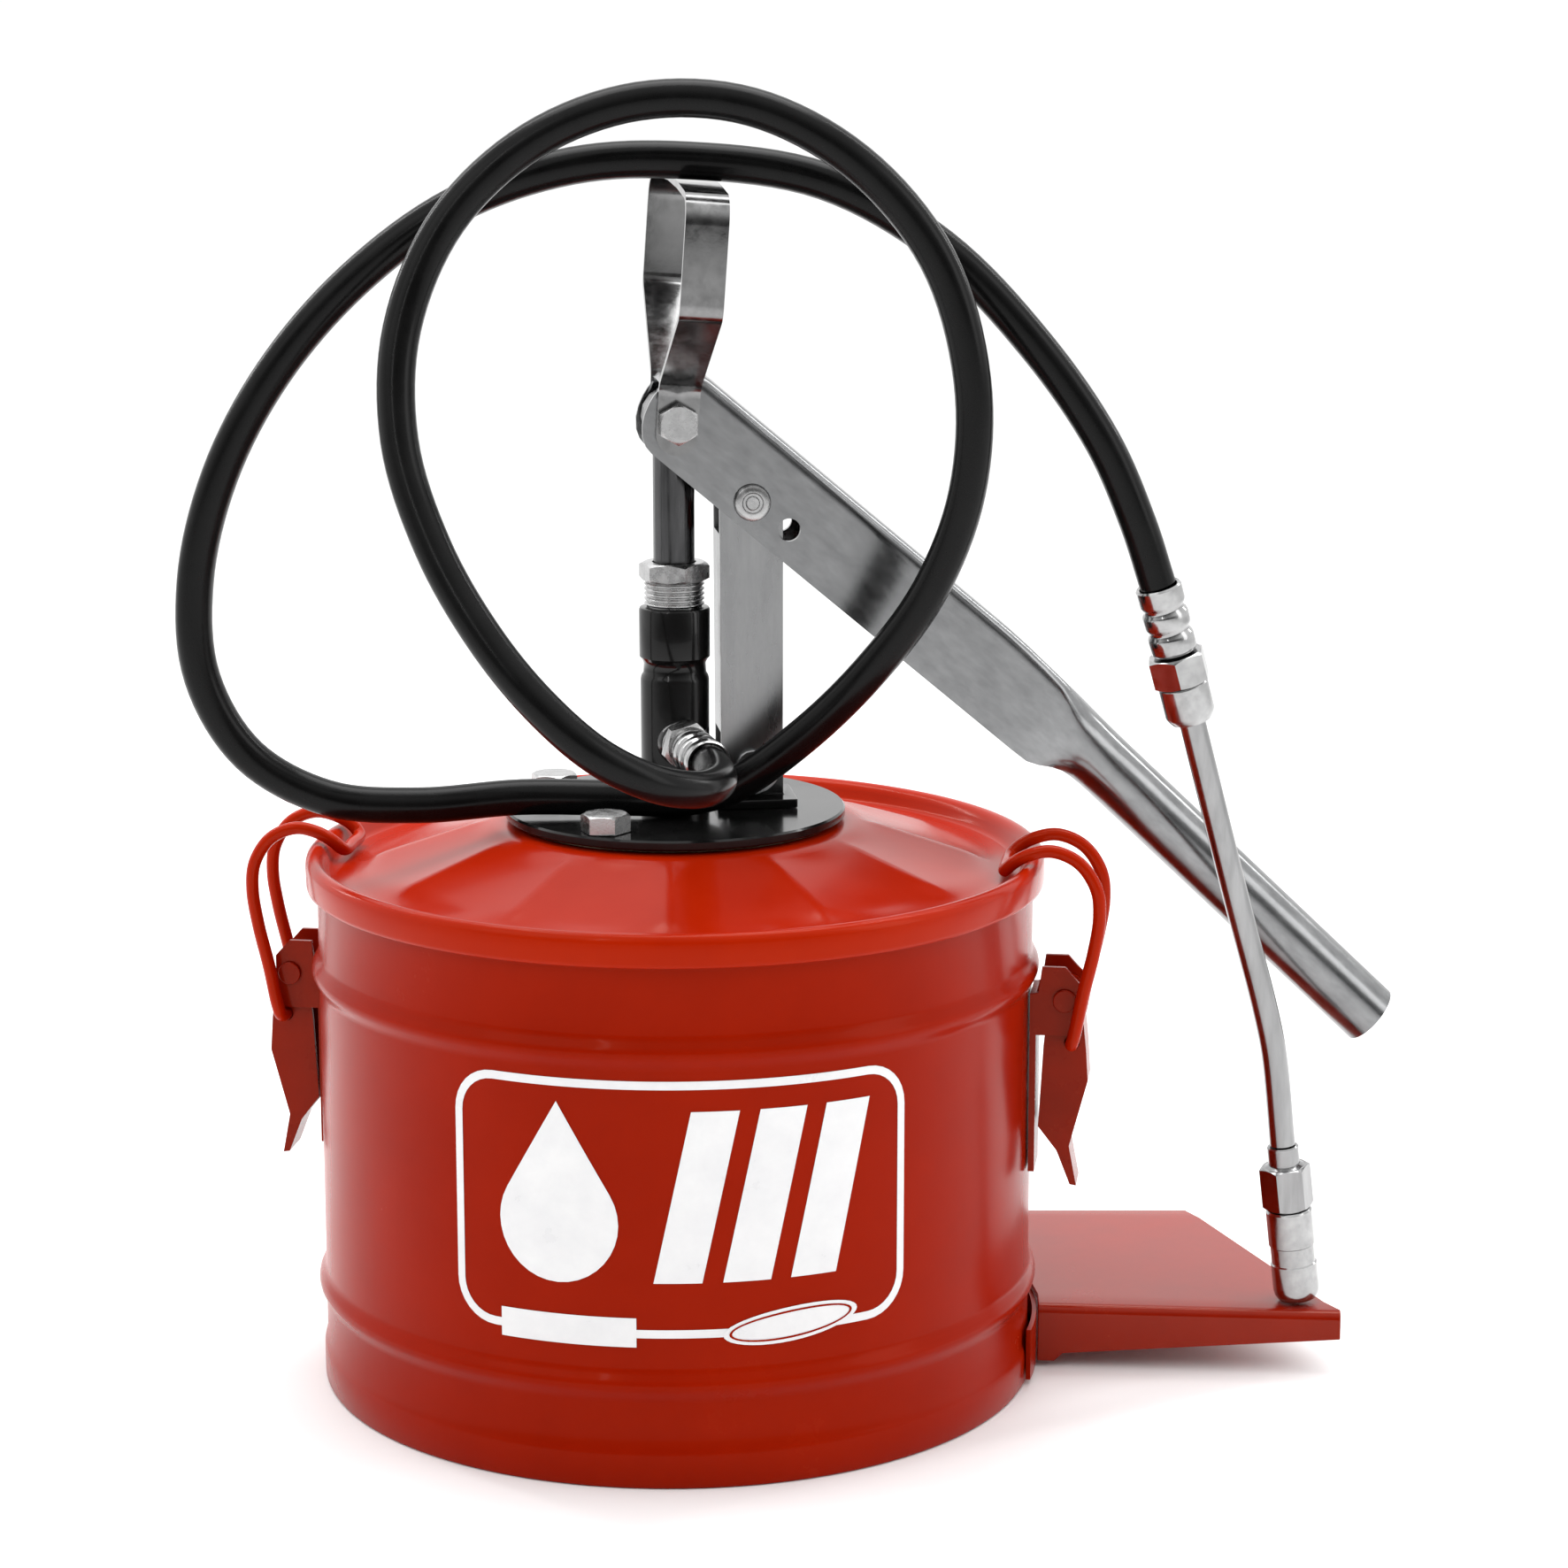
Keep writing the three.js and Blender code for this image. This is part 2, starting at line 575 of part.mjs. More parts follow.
// ---------- assembly ----------
const part = new THREE.Group();
part.add(
  named("bucket_body", bucketBody(), redPaint),
  named("bucket_bottom", bucketBottom(), redPaint),
  named("lid", lid(), redPaint),
  named("lid_gasket", ring(109.6, 111.4, 160.9, 162.6, ROUND), rubber),
  named("foot_plate", footPlate(), redPaint),
  named("foot_bracket", footBracket(), redPaint),
  named("flange_plate", flangePlate(), blackPaint),
  named("plate_gasket", plateGasket(), fibre),
);
BOLT_ANGLES.forEach((angle, i) => {
  part.add(
    named("flange_bolt_" + (i + 1), flangeBolt(angle), zinc),
    named("flange_nut_" + (i + 1), flangeNut(angle), zinc),
  );
});

for (const [side, degrees] of Object.entries(LATCH_ANGLES)) {
  const latch = new THREE.Group();
  latch.rotation.z = THREE.MathUtils.degToRad(degrees);
  latch.add(
    named("latch_bracket_" + side, latchBracket(), redPaint),
    named("latch_pin_" + side, latchPin(), redPaint),
    named("latch_lever_" + side, latchLever(), redPaint),
    named("latch_bail_" + side, latchBail(), redPaint),
  );
  part.add(latch);
}

const head = new THREE.Group();
head.rotation.z = HEAD_TURN;
head.add(
  named("pump_body", pumpBody(), blackPaint),
  named("pump_cylinder", pumpCylinder(), darkSteel),
  named("gland_nut", glandNut(), zinc),
  named("gland_packing", glandPacking(), fibre),
  named("piston_rod", pistonRod(), darkSteel),
  named("piston", piston(), darkSteel),
  named("piston_cup", pistonCup(), rubber),
  named("piston_nut", pistonNut(), zinc),
  named("foot_valve", footValve(), darkSteel),
  named("foot_valve_ball", ball(4.5, 16.1), brightSteel),
  named("outlet_adapter", outletAdapter(), zinc),
  named("outlet_valve_ball", outletBall(), brightSteel),
  named("lever", lever(), zinc),
  named("pivot_bolt", pivotBolt(), zinc),
  named("pivot_nut", pivotNut(), zinc),
  named("pivot_bush_front", pivotBush(-1), darkSteel),
  named("pivot_bush_rear", pivotBush(1), darkSteel),
  named("fulcrum_rivet", fulcrumRivet(), zinc),
  named("support_link", supportLink(), zinc),
  named("link_pin", linkPin(), zinc),
  named("link_lug", linkLug(), blackPaint),
  named("carry_handle", carryHandle(), brightSteel),
);
part.add(
  head,
  named("hose", sweep(HOSE_ROUTE, HOSE_R, 10, 60), rubber),
  named("hose_ferrule_pump", pumpFerrule(), brightSteel),
  named("hose_ferrule_far", farFerrule(), brightSteel),
  named("swivel_nut", swivelNut(), brightSteel),
  named("swivel_sleeve", swivelSleeve(), brightSteel),
  named("extension_tube", extensionTube(), brightSteel),
  named("coupler_body", couplerBody(), brightSteel),
  named("coupler_nose", couplerNose(), brightSteel),
);

export default part;
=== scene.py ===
"""Bucket grease pump: camera, light, materials, and the detailed pieces that stand for plain CAD nodes.

Pieces are drawn in millimetres, in the CAD model's frame, and scaled to metres as they are made.
Pivots, the planes they turn in and the bolts' places are read from the frame.
"""

import json
import math

import bmesh
import bpy
from mathutils import Matrix, Vector


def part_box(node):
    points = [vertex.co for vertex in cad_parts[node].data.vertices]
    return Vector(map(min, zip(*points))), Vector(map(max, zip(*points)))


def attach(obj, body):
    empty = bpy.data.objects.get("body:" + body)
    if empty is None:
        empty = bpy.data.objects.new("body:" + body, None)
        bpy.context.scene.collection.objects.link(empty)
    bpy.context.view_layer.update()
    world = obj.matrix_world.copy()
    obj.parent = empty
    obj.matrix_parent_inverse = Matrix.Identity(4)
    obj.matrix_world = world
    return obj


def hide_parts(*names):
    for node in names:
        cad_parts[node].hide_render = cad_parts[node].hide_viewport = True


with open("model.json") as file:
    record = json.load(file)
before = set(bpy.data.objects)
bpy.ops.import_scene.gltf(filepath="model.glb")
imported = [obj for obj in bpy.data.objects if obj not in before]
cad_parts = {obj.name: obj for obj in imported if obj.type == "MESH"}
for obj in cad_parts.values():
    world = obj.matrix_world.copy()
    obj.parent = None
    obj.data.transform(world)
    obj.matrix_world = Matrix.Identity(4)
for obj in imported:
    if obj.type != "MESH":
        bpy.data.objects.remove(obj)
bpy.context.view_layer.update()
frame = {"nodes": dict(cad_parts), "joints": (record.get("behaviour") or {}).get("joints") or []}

MM = 0.001
BASE = "bucket_and_pump"
SIDES = ("right", "left")
JOINTS = {joint["name"]: joint for joint in frame["joints"]}


def joint_place(name):
    return Vector(JOINTS[name]["pos_m"]) / MM


def joint_yaw(name):
    """How far a joint's level axis is turned about Z from pointing straight to the front."""
    x, y, _ = JOINTS[name]["axis"]
    return math.atan2(x, -y)


BUCKET_R = 110
BUCKET_SHEET = 1.2
BEAD_HEIGHTS = (31, 130)
LID_SLOPE = 0.332
BRACKET_R = 113.3  # the foot plate's inner edge

OUTLET_Z = 199.5
OUTLET_YAW = math.radians(-75)
OUTLET_DIRECTION = Vector((math.cos(OUTLET_YAW), math.sin(OUTLET_YAW), 0))
HOSE_START = 43.3  # from the pump's axis, along the outlet
HOSE_R = 5.5
TUBE_R = 4

HEAD_YAW = joint_yaw("lever_hinge")  # of the lever's plane
HEAD_TURN = Matrix.Rotation(HEAD_YAW, 4, "Z")
LEVER_PIVOT = joint_place("lever_hinge")
LEVER_TILT = math.radians(40.15)
FULCRUM = (joint_place("link_hinge").xy.length, joint_place("link_hinge").z)
SPARE_HOLE = (33.7, 264.4)
HANDLE_LEAN = math.radians(4)
SHEET = 2  # of the lever, the carrying handle and the foot plate
BAIL_WIRE_R = 2


# ---------- camera ----------
def add_camera():
    data = bpy.data.cameras.new("camera")
    data.lens = 89.25
    data.sensor_width = 36
    camera = bpy.data.objects.new("camera", data)
    camera.location = (0.03333, -1.16719, 0.4329)
    camera.rotation_euler = (math.radians(77.993), 0, 0)
    bpy.context.scene.collection.objects.link(camera)
    bpy.context.scene.camera = camera


add_camera()


# ---------- materials ----------
def surface(
    name,
    dark,
    light,
    rough,
    metallic=0.0,
    coat=0.0,
    grain=60,
    relief=0.0,
    relief_grain=900,
    along=(1, 1, 1),
    turn=(0, 0, 0),
    level=0.5,
    tint=(1, 1, 1),
):
    """A material whose colour and roughness drift between two values, with a fine relief.

    grain and relief_grain are features per metre, along stretches them, and turn lays that stretch
    along a direction.
    """
    material = bpy.data.materials.new(name)
    material.use_nodes = True
    nodes = material.node_tree.nodes
    link = material.node_tree.links.new
    shader = nodes["Principled BSDF"]
    shader.inputs["Metallic"].default_value = metallic
    shader.inputs["Coat Weight"].default_value = coat
    shader.inputs["Coat Roughness"].default_value = 0.06
    shader.inputs["Specular IOR Level"].default_value = level
    shader.inputs["Specular Tint"].default_value = (*tint, 1)

    place = nodes.new("ShaderNodeTexCoord")
    mapping = nodes.new("ShaderNodeMapping")
    mapping.vector_type = "TEXTURE"
    mapping.inputs["Scale"].default_value = along
    mapping.inputs["Rotation"].default_value = turn
    link(place.outputs["Object"], mapping.inputs["Vector"])

    drift = nodes.new("ShaderNodeTexNoise")
    drift.inputs["Scale"].default_value = grain
    drift.inputs["Detail"].default_value = 6
    drift.inputs["Roughness"].default_value = 0.62
    link(mapping.outputs["Vector"], drift.inputs["Vector"])

    colours = nodes.new("ShaderNodeValToRGB")
    colours.color_ramp.elements[0].position = 0.3
    colours.color_ramp.elements[0].color = (*dark, 1)
    colours.color_ramp.elements[1].position = 0.7
    colours.color_ramp.elements[1].color = (*light, 1)
    link(drift.outputs["Fac"], colours.inputs["Fac"])
    link(colours.outputs["Color"], shader.inputs["Base Color"])

    dullness = nodes.new("ShaderNodeMapRange")
    dullness.inputs["From Min"].default_value = 0.3
    dullness.inputs["From Max"].default_value = 0.7
    dullness.inputs["To Min"].default_value = rough[0]
    dullness.inputs["To Max"].default_value = rough[1]
    link(drift.outputs["Fac"], dullness.inputs["Value"])
    link(dullness.outputs["Result"], shader.inputs["Roughness"])

    if relief:
        fine = nodes.new("ShaderNodeTexNoise")
        fine.inputs["Scale"].default_value = relief_grain
        fine.inputs["Detail"].default_value = 3
        link(mapping.outputs["Vector"], fine.inputs["Vector"])
        bump = nodes.new("ShaderNodeBump")
        bump.inputs["Strength"].default_value = 0.6
        bump.inputs["Distance"].default_value = relief * MM
        link(fine.outputs["Fac"], bump.inputs["Height"])
        link(bump.outputs["Normal"], shader.inputs["Normal"])
    return material


def flat_tone(value):
    return (value, value, value)


WARM = (1, 0.4, 0.2)  # reflections in the red paint

LOOK = {
    "bucket_red": surface(
        "bucket_red", (0.27, 0.0075, 0.0004), (0.31, 0.0095, 0.0006), (0.2, 0.28),
        coat=0.03, grain=25, relief=0.02, relief_grain=400, level=0.1, tint=WARM,
    ),
    # The same paint as bucket_red, made lighter: painted light, standing in for the stronger light on the
    # lid's top and on the bails
    "lid_red": surface(
        "lid_red", (0.36, 0.011, 0.0004), (0.4, 0.014, 0.0006), (0.16, 0.24),
        coat=0.05, grain=25, relief=0.012, relief_grain=400, level=0.16, tint=WARM,
    ),
    "foot_red": surface(
        "foot_red", (0.24, 0.007, 0.0005), (0.29, 0.0095, 0.0008), (0.2, 0.28),
        coat=0.25, grain=25, relief=0.02, relief_grain=400, level=0.25, tint=WARM,
    ),
    "latch_red": surface(
        "latch_red", (0.2, 0.006, 0.0008), (0.25, 0.008, 0.001), (0.24, 0.32),
        coat=0.1, grain=60, relief=0.02, relief_grain=400, level=0.2, tint=WARM,
    ),
    "black_paint": surface(
        "black_paint", flat_tone(0.004), flat_tone(0.008), (0.14, 0.24),
        coat=0.2, grain=40, relief=0.01, relief_grain=400, level=0.2,
    ),
    "zinc_plate": surface(
        "zinc_plate", flat_tone(0.34), flat_tone(0.52), (0.2, 0.34),
        metallic=1, grain=260, relief=0.03, relief_grain=1500,
    ),
    "galvanised_lever": surface(
        "galvanised_lever", (0.19, 0.192, 0.195), (0.27, 0.273, 0.276), (0.17, 0.23),
        metallic=1, grain=300, relief=0.014, relief_grain=1400,
        along=(2.5, 1, 1), turn=(0, LEVER_TILT, HEAD_YAW),
    ),
    "galvanised_link": surface(
        "galvanised_link", (0.24, 0.242, 0.245), (0.33, 0.333, 0.336), (0.24, 0.34),
        metallic=1, grain=160, relief=0.012, relief_grain=900, along=(1, 1, 4),
    ),
    "bright_steel": surface(
        "bright_steel", flat_tone(0.3), flat_tone(0.46), (0.12, 0.24),
        metallic=1, grain=180, relief=0.01, relief_grain=1200,
    ),
    "handle_steel": surface(
        "handle_steel", flat_tone(0.17), flat_tone(0.28), (0.12, 0.24),
        metallic=1, grain=220, relief=0.01, relief_grain=1200,
    ),
    "drawn_tube": surface(
        "drawn_tube", (0.25, 0.25, 0.252), (0.35, 0.35, 0.352), (0.14, 0.22),
        metallic=1, grain=300, relief=0.006, relief_grain=900, along=(1, 1, 8),
    ),
    "dark_steel": surface(
        "dark_steel", (0.04, 0.04, 0.041), (0.1, 0.1, 0.102), (0.18, 0.3),
        metallic=1, grain=400, relief=0.006, relief_grain=900, along=(1, 1, 12),
    ),
    "hose_rubber": surface(
        "hose_rubber", flat_tone(0.003), flat_tone(0.005), (0.19, 0.27),
        grain=90, relief=0.02, relief_grain=1400, level=0.14,
    ),
    "rubber_seal": surface(
        "rubber_seal", flat_tone(0.012), flat_tone(0.03), (0.55, 0.75),
        grain=200, relief=0.05,
    ),
    "fibre_seal": surface(
        "fibre_seal", (0.2, 0.15, 0.09), (0.34, 0.28, 0.19), (0.7, 0.9),
        grain=900, relief=0.1,
    ),
    "label_white": surface(
        "label_white", (0.76, 0.76, 0.77), (0.84, 0.84, 0.84), (0.26, 0.36),
        coat=0.3, grain=80, relief=0.02, relief_grain=900,
    ),
    "floor": surface(
        "floor", (0.88, 0.88, 0.88), (0.92, 0.92, 0.92), (0.6, 0.75), grain=4, relief=0.02,
    ),
}


# ---------- making pieces ----------
def finish_piece(piece, look, body, replaces=()):
    bpy.context.scene.collection.objects.link(piece)
    piece.data.materials.append(LOOK[look])
    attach(piece, body)
    if replaces:
        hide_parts(*replaces)
    return piece


def bare_mesh(name, shape):
    vertices, faces = shape
    mesh = bpy.data.meshes.new(name)
    mesh.from_pydata([tuple(Vector(v) * MM) for v in vertices], [], faces)
    return mesh


def add_mesh(name, shape, look, body, replaces=(), sharp=35):
    """A smooth-shaded piece from (vertices, faces) in millimetres. sharp is in degrees."""
    mesh = bare_mesh(name, shape)
    work = bmesh.new()
    work.from_mesh(mesh)
    bmesh.ops.recalc_face_normals(work, faces=work.faces)
    work.to_mesh(mesh)
    work.free()
    mesh.polygons.foreach_set("use_smooth", [True] * len(mesh.polygons))
    mesh.set_sharp_from_angle(angle=math.radians(sharp))
    return finish_piece(bpy.data.objects.new(name, mesh), look, body, replaces)


def round_edges(piece, width, limit=38, harden=True):
    """Rounds the edges that bend more than limit degrees."""
    bevel = piece.modifiers.new("edges", "BEVEL")
    bevel.width = width * MM
    bevel.segments = 2
    bevel.limit_method = "ANGLE"
    bevel.angle_limit = math.radians(limit)
    bevel.harden_normals = harden
    bevel.use_clamp_overlap = True


def turned(profile, sides=96, relief=None):
    """A closed profile of (radius, height) turned about Z. relief raises the vertices."""
    vertices, faces, rings = [], [], []
    for radius, height in profile:
        if radius < 1e-6:
            rings.append([len(vertices)] * sides)
            vertices.append((0, 0, height))
            continue
        rings.append(list(range(len(vertices), len(vertices) + sides)))
        for i in range(sides):
            angle = 2 * math.pi * i / sides
            extra = relief(radius, angle) if relief else 0
            vertices.append((radius * math.cos(angle), radius * math.sin(angle), height + extra))
    for ring, following in zip(rings, rings[1:] + rings[:1]):
        for i in range(sides):
            j = (i + 1) % sides
            corners = list(dict.fromkeys([ring[i], ring[j], following[j], following[i]]))
            if len(corners) > 2:
                faces.append(corners)
    return vertices, faces


def hexagon(across, low, high, hole=0.0, chamfer_low=True):
    """A hexagonal head or nut with chamfered corners. hole is the radius of its hole."""
    half = across / 2
    face = half * 0.97
    drop = math.tan(math.radians(28))
    inner = max(hole, 0.05)
    sides = 6 * 8
    vertices, faces, rings = [], [], []

    def ring(radius_of, height_of):
        start = len(vertices)
        for i in range(sides):
            angle = 2 * math.pi * i / sides
            within = (angle + math.pi / 6) % (math.pi / 3) - math.pi / 6
            reach = half / math.cos(within)
            radius = radius_of(reach)
            vertices.append((radius * math.cos(angle), radius * math.sin(angle), height_of(reach)))
        rings.append(list(range(start, start + sides)))

    ring(lambda reach: inner, lambda reach: low)
    if chamfer_low:
        ring(lambda reach: face, lambda reach: low)
    ring(lambda reach: reach, lambda reach: low + (reach - face) * drop * chamfer_low)
    ring(lambda reach: reach, lambda reach: high - (reach - face) * drop)
    ring(lambda reach: face, lambda reach: high)
    ring(lambda reach: inner, lambda reach: high)
    for first, following in zip(rings, rings[1:] + rings[:1]):
        for i in range(sides):
            j = (i + 1) % sides
            faces.append([first[i], first[j], following[j], following[i]])
    return vertices, faces


def together(*shapes):
    vertices, faces = [], []
    for some_vertices, some_faces in shapes:
        start = len(vertices)
        vertices += some_vertices
        faces += [[start + i for i in face] for face in some_faces]
    return vertices, faces


def moved(shape, matrix):
    vertices, faces = shape
    return [tuple(matrix @ Vector(v)) for v in vertices], faces


def aim(start, direction):
    """Stands a shape made along Z on start, along direction."""
    turn = Vector((0, 0, 1)).rotation_difference(Vector(direction)).to_matrix().to_4x4()
    return Matrix.Translation(Vector(start)) @ turn


def sheet_grid(rows):
    """Faces over rows of points, each row as long as the next."""
    vertices = [tuple(p) for row in rows for p in row]
    across = len(rows[0])
    faces = []
    for r in range(len(rows) - 1):
        for c in range(across - 1):
            first = r * across + c
            faces.append([first, first + 1, first + across + 1, first + across])
    return vertices, faces


def thicken(piece):
    solid = piece.modifiers.new("sheet", "SOLIDIFY")
    solid.thickness = SHEET * MM
    solid.offset = 0
    solid.use_even_offset = True


def filleted(corners, steps=6):
    """A 2-D line through (x, y, radius) corners, each rounded to its radius."""
    line = []
    for i, (x, y, radius) in enumerate(corners):
        here = Vector((x, y))
        if not radius or i in (0, len(corners) - 1):
            line.append(here)
            continue
        back = (Vector(corners[i - 1][:2]) - here).normalized()
        ahead = (Vector(corners[i + 1][:2]) - here).normalized()
        half = math.acos(max(-1, min(1, back.dot(ahead)))) / 2
        reach = radius / math.tan(half)
        start, end = here + back * reach, here + ahead * reach
        centre = here + (back + ahead).normalized() * (radius / math.sin(half))
        for k in range(steps + 1):
            point = start.lerp(end, k / steps)
            line.append(centre + (point - centre).normalized() * radius)
    return line


def smooth_line(points, per_span=8):
    """A centripetal Catmull-Rom line through the points."""
    points = [Vector(p) for p in points]
    ends = [2 * points[0] - points[1], *points, 2 * points[-1] - points[-2]]
    line = []
    for a, b, c, d in zip(ends, ends[1:], ends[2:], ends[3:]):
        t1 = (b - a).length ** 0.5
        t2 = t1 + (c - b).length ** 0.5
        t3 = t2 + (d - c).length ** 0.5
        for i in range(per_span):
            t = t1 + (t2 - t1) * i / per_span
            ab = a.lerp(b, t / t1)
            bc = b.lerp(c, (t - t1) / (t2 - t1))
            cd = c.lerp(d, (t - t2) / (t3 - t2))
            abc = ab.lerp(bc, t / t2)
            bcd = bc.lerp(cd, (t - t1) / (t3 - t1))
            line.append(abc.lerp(bcd, (t - t1) / (t2 - t1)))
    line.append(points[-1])
    return line


def add_wire(name, points, radius, look, body, replaces=()):
    data = bpy.data.curves.new(name, "CURVE")
    data.dimensions = "3D"
    data.bevel_depth = radius * MM
    data.bevel_resolution = 8
    data.use_fill_caps = True
    spline = data.splines.new("POLY")
    spline.points.add(len(points) - 1)
    for point, at in zip(spline.points, points):
        point.co = (*(Vector(at) * MM), 1)
    spline.use_smooth = True
    return finish_piece(bpy.data.objects.new(name, data), look, body, replaces)


# ---------- hose ----------
def on_outlet(distance):
    return tuple(OUTLET_DIRECTION * distance + Vector((0, 0, OUTLET_Z)))


FAR_END = (144.2, -27, 250.8)
FAR_LINE = (0.2646, 0.13, -0.9556)
HOSE_ROUTE = [
    on_outlet(HOSE_START), (13.6, -53, 199.5), (13.9, -68, 199.4), (8.2, -83, 200.6), (-3.5, -94.8, 205),
    (-19, -100.4, 214), (-35.5, -98.8, 228.5), (-51, -92, 246.5), (-65.5, -82, 270),
    (-75.5, -71, 299), (-75, -62, 330), (-62, -56, 360), (-38, -52, 382), (-8, -50, 393),
    (24, -50, 391.5), (54, -50, 376), (77, -50, 349), (87.5, -49, 314), (86.5, -46, 281),
    (76, -40, 251), (58, -33, 225), (38, -26, 204), (18, -21.5, 188.8), (5, -20, 184.8),
    (-14, -19.5, 184.5), (-46, -20, 184.9), (-77, -22, 182.8), (-104, -24, 185.5),
    (-127, -26, 199), (-140, -28, 223), (-141, -29, 252), (-132.5, -30, 284), (-116, -30, 314),
    (-92, -30, 341), (-62, -30, 362.5), (-28, -30, 373.9), (6, -30, 375.4), (45, -30, 369.5),
    (79, -30, 350.5), (107, -30, 322), (127, -30, 293.6), (137.8, -28.8, 269.6), FAR_END,
]


def along_far_line(distance):
    return tuple(Vector(FAR_END) + distance * Vector(FAR_LINE))


TUBE_ROUTE = [
    along_far_line(23), along_far_line(44), (171.3, -12, 152.5), (181.3, -9.4, 117),
    (184.8, -8.8, 101.5), (188.3, -8.2, 72),
]
COUPLER = aim((188.3, -8.2, 71.6), (6.5, 2, -52.7))


def ferrule_profile(length):
    """Three crimped barrels in a row, hollow where the hose goes in."""
    barrel = 6.95
    profile = [(5.8, 0.5), (6.5, 0.2), (barrel, 0.8)]
    for share in (0.34, 0.67):
        at = share * length
        profile += [(barrel, at - 2), (6.7, at - 1.2), (6.2, at - 0.6), (6.1, at)]
        profile += [(6.2, at + 0.6), (6.7, at + 1.2), (barrel, at + 2)]
    profile += [(barrel, length - 1), (6.5, length - 0.2), (5.2, length)]
    profile += [(5.2, length - 2), (5.8, length - 2)]
    return profile


def add_hose():
    line = smooth_line(HOSE_ROUTE)
    hose = add_wire("delivery_hose", line, HOSE_R, "hose_rubber", BASE, ["hose"])
    to_pump = aim(on_outlet(HOSE_START), -OUTLET_DIRECTION)
    pump_end = add_mesh(
        "pump_end_ferrule", moved(turned(ferrule_profile(18.6), 64), to_pump),
        "bright_steel", BASE, ["hose_ferrule_pump"],
    )
    far_end = add_mesh(
        "far_end_ferrule", moved(turned(ferrule_profile(21.5), 64), aim(FAR_END, FAR_LINE)),
        "bright_steel", BASE, ["hose_ferrule_far"],
    )
    nut = add_mesh(
        "swivel_hexagon", moved(hexagon(16, 0, 9.4, 4.3), aim(along_far_line(22), FAR_LINE)),
        "bright_steel", BASE, ["swivel_nut"], sharp=25,
    )
    sleeve_profile = [(4.3, 0), (7.3, 0), (7.6, 0.4), (7.6, 9.4), (7.1, 10.6), (6.2, 12), (4.3, 12)]
    sleeve = add_mesh(
        "swivel_collar", moved(turned(sleeve_profile, 64), aim(along_far_line(31.7), FAR_LINE)),
        "bright_steel", BASE, ["swivel_sleeve"],
    )


def add_delivery_tube():
    add_wire(
        "delivery_tube", smooth_line(TUBE_ROUTE), TUBE_R, "drawn_tube",
        BASE, ["extension_tube"],
    )
    neck = turned([(2, 0), (4.5, 0), (4.9, 0.4), (4.9, 6), (6.2, 6.6), (6.2, 20.5), (2, 20.5)], 48)
    shape = moved(together(neck, hexagon(14, 6.6, 20.2, 2)), COUPLER)
    add_mesh("coupler_hexagon", shape, "drawn_tube", BASE, ["coupler_body"], sharp=25)
    profile = [
        (2.5, 20.8), (6.7, 20.8), (7.2, 21.4), (7.2, 32.4), (6.8, 32.8), (6.8, 38.4), (7.2, 38.8),
        (7.2, 47.2), (6.9, 48.9), (6, 50.4), (2.5, 50.4),
    ]
    shape = moved(turned(profile, 64), COUPLER)
    add_mesh("coupler_jaw_sleeve", shape, "bright_steel", BASE, ["coupler_nose"])


# ---------- bucket and lid ----------
def bead_profile(height, radius, steps=10):
    """A rolled bead, 2.2 mm proud and 11 mm high."""
    return [
        (radius + 2.2 * math.sin(math.pi * k / steps) ** 2, height - 5.5 + 11 * k / steps)
        for k in range(steps + 1)
    ]


def add_bucket():
    outside = [(108.8, 0), (110.6, 0), (111, 0.8), (111, 9.5), (110.6, 11.2), (110, 12.4)]
    for height in BEAD_HEIGHTS:
        outside += bead_profile(height, BUCKET_R)
    outside += [(110, 154), (110.4, 156), (111.6, 157.8), (111.6, 159.6), (110.6, 160.5), (109.2, 160.5)]
    inside = [(108.8, 159.5)]
    for height in reversed(BEAD_HEIGHTS):
        inside += reversed(bead_profile(height, BUCKET_R - BUCKET_SHEET))
    shape = turned(outside + inside, 160)
    add_mesh("bucket_wall", shape, "bucket_red", BASE, ["bucket_body"], sharp=50)


def smooth_step(low, high, value):
    share = max(0, min(1, (value - low) / (high - low)))
    return share * share * (3 - 2 * share)


def lid_panels(radius, angle):
    """Twelve pressed panels round the cone, fading out at the plate and at the rim."""
    panel = math.pi / 6
    within = angle % panel - panel / 2
    flatness = radius * (1 - math.cos(within) / math.cos(panel / 3))
    fade = smooth_step(55, 64, radius) * (1 - smooth_step(88, 97, radius))
    return 0.55 * flatness * fade


def add_lid():
    cone = [(12.5, 174.2), (48, 174.2), (52, 174.1), (55, 173.9), (57, 173.5)]
    cone += [(r, 173.4 - LID_SLOPE * (r - 57)) for r in range(59, 97, 2)]
    cone += [(97.5, 160.1), (99, 159.75), (101, 159.55)]
    rim = [(104.4, 159.5), (105.8, 159.8), (106.7, 160.8), (107.4, 162.6), (108.2, 164),
           (109.3, 165), (110.8, 165.4), (112, 165.1), (113, 164.2), (113.4, 162.8), (113.4, 157),
           (113.2, 156), (112.8, 155.7), (112.3, 156)]
    outside = cone + rim
    under = [(112.2, 162.6), (111.6, 163.8), (110.6, 164.1), (109.4, 163.2), (108.4, 161.2),
             (107.4, 159), (106, 158.3), (101, 158.3), (98, 158.7)]
    under += [(r, 172.2 - LID_SLOPE * (r - 57)) for r in range(96, 58, -4)]
    under += [(56, 172.6), (12.5, 172.9)]
    shape = turned(outside + under, 240, lid_panels)
    add_mesh("pressed_lid", shape, "lid_red", BASE, ["lid"], sharp=60)


